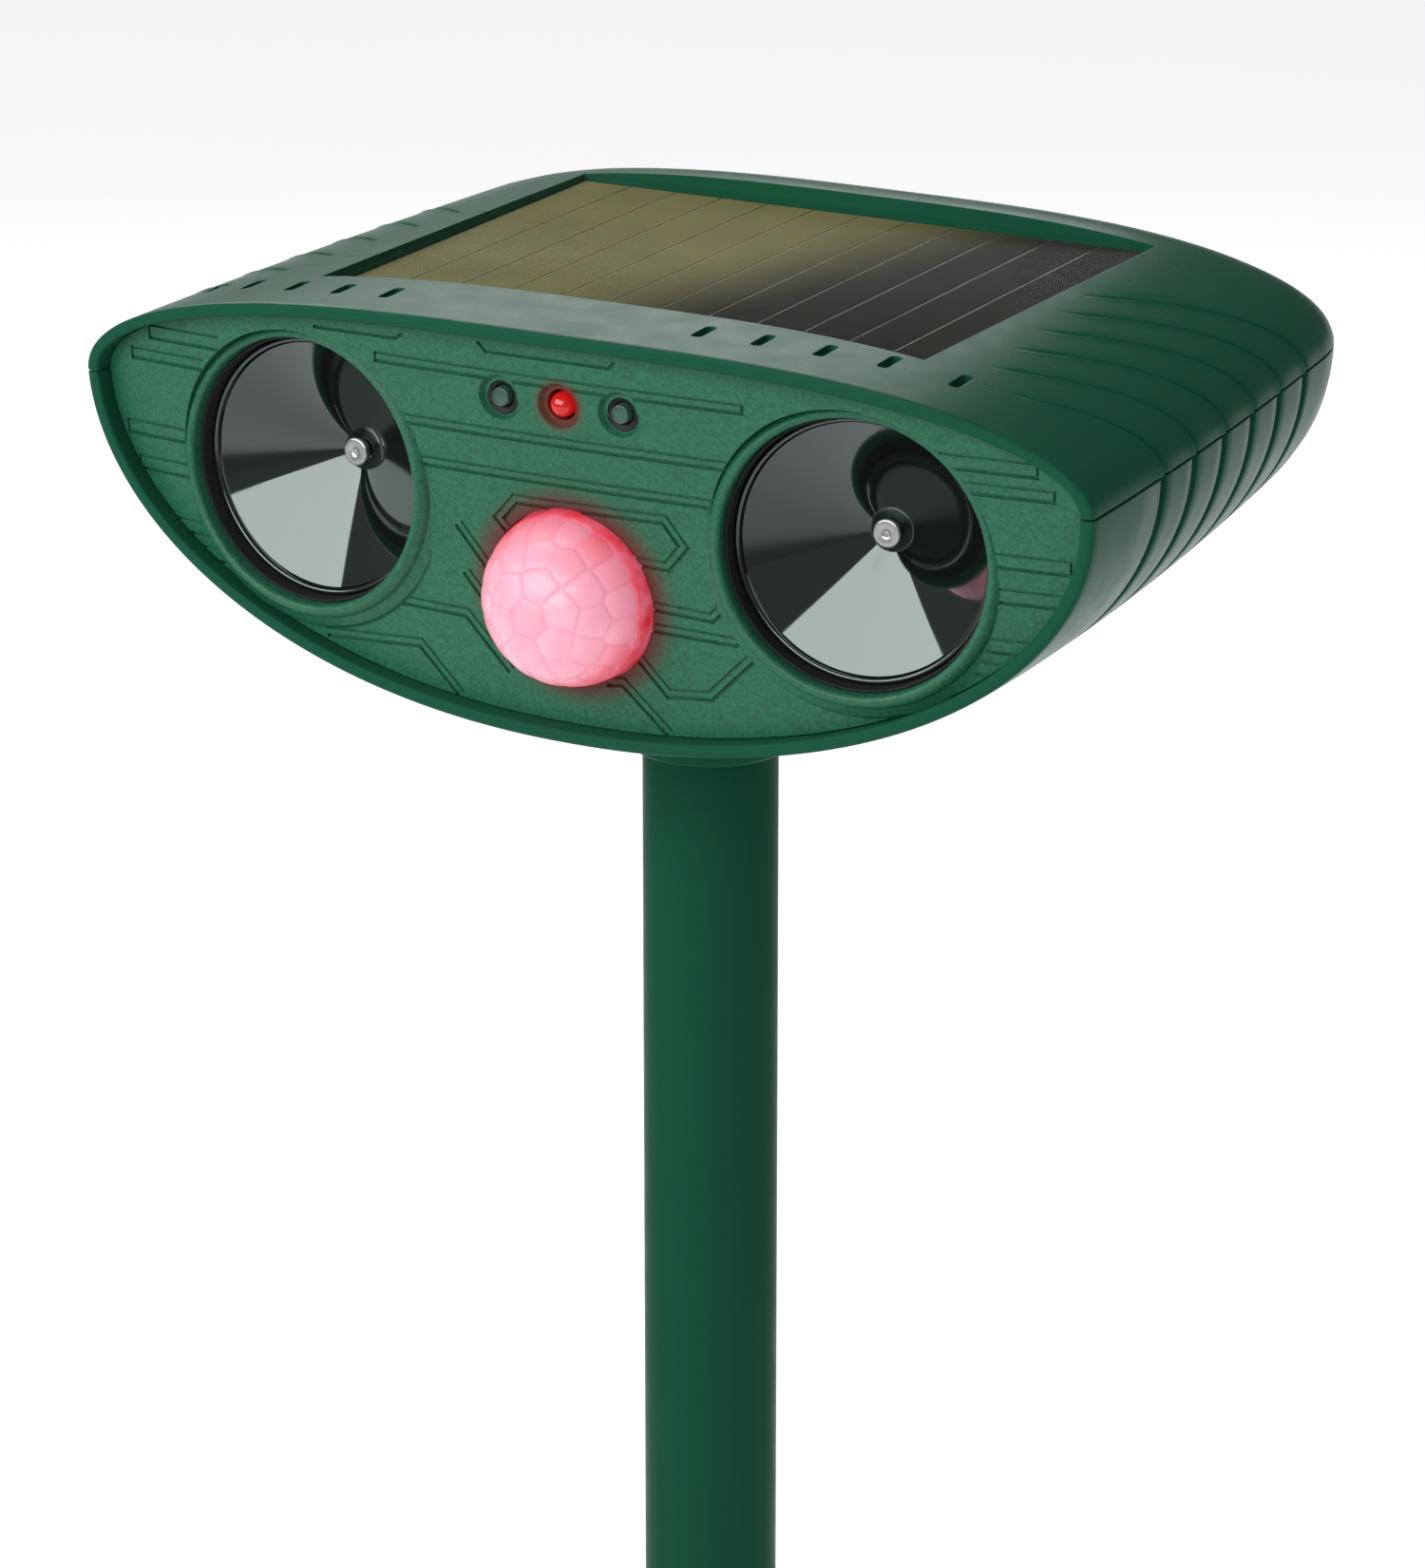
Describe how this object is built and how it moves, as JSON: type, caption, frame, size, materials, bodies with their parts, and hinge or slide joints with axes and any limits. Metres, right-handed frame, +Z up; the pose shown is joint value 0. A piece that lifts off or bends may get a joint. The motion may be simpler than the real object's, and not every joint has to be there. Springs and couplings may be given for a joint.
{
  "type": "ultrasonic pest repeller",
  "caption": "Solar garden pest repeller on a ground spike: wide green head with horn speakers, motion sensor dome, indicator lamps and top panel.",
  "frame": {"origin": "on the pole's axis at the ground line, which is the foot of the pole tube", "axes": "+Z up along the pole, the speaker face looks along -Y, +X is the viewer's right when facing the speakers"},
  "size_m": [0.155, 0.1244, 0.3469],
  "materials": {
    "shell_green": "satin moulded plastic",
    "face_green": "fine-grained moulded plastic",
    "pole_green": "satin plastic tube",
    "stake_green": "satin moulded plastic",
    "black_rubber": "matte",
    "solar_cells": "dark amorphous cells with fine silver lines",
    "solar_cover": "clear, slightly warm",
    "horn_black": "polished black",
    "cap_silver": "satin",
    "black_plastic": "moulded",
    "lens_white": "milky lens lit red from inside",
    "steel": "plated",
    "clear_lamp": "clear epoxy",
    "red_lamp": "clear red epoxy, lit",
    "circuit_board": "solder mask",
    "cell_sleeve": "shrink sleeve",
    "red_lead": "insulated wire",
    "black_lead": "insulated wire"
  },
  "bodies": {
    "stake": {"ground_spike": "stake_green", "pole_tube": "pole_green"},
    "head": {"upper_shell": "shell_green", "lower_shell": "shell_green", "face_plate": "face_green", "solar_gasket": "black_rubber", "solar_cell_board": "solar_cells", "solar_cover": "solar_cover", "speaker_horn_left": "horn_black", "speaker_cap_left": "cap_silver", "speaker_driver_left": "black_plastic", "speaker_gasket_left": "black_rubber", "speaker_horn_right": "horn_black", "speaker_cap_right": "cap_silver", "speaker_driver_right": "black_plastic", "speaker_gasket_right": "black_rubber", "sensor_dome": "lens_white", "motion_sensor": "steel", "flash_lamp_left": "clear_lamp", "status_lamp_red": "red_lamp", "flash_lamp_right": "clear_lamp", "sensor_board": "circuit_board", "sensor_board_screw_left": "steel", "sensor_board_screw_right": "steel", "battery_holder": "black_plastic", "battery_cell": "cell_sleeve", "battery_contact_left": "steel", "battery_contact_right": "steel", "main_board": "circuit_board", "main_board_screw_left": "steel", "main_board_screw_right": "steel", "dial_seal": "black_rubber", "rotary_switch": "black_plastic", "charge_port": "steel", "speaker_lead_left": "red_lead", "speaker_lead_right": "red_lead", "sensor_lead": "black_lead", "solar_lead": "red_lead", "battery_lead": "black_lead", "case_screw_1": "steel", "case_screw_2": "steel", "case_screw_3": "steel", "case_screw_4": "steel"},
    "dial": {"mode_dial": "black_plastic"},
    "cover_flap": {"port_cover": "black_rubber"}
  },
  "joints": [
    {"name": "head_swivel", "type": "hinge", "parent": "stake", "child": "head", "pos_m": [0, 0, 0.141], "axis": [0, 0, 1], "continuous": true},
    {"name": "mode_dial_turn", "type": "hinge", "parent": "head", "child": "dial", "pos_m": [0.024, 0.0659, 0.188], "axis": [0, 1, 0], "range_deg": [-150, 0]},
    {"name": "port_cover_flap", "type": "hinge", "parent": "head", "child": "cover_flap", "pos_m": [-0.024, 0.067, 0.193], "axis": [1, 0, 0], "range_deg": [0, 110], "stiffness_Nm_per_rad": 0.0006}
  ]
}
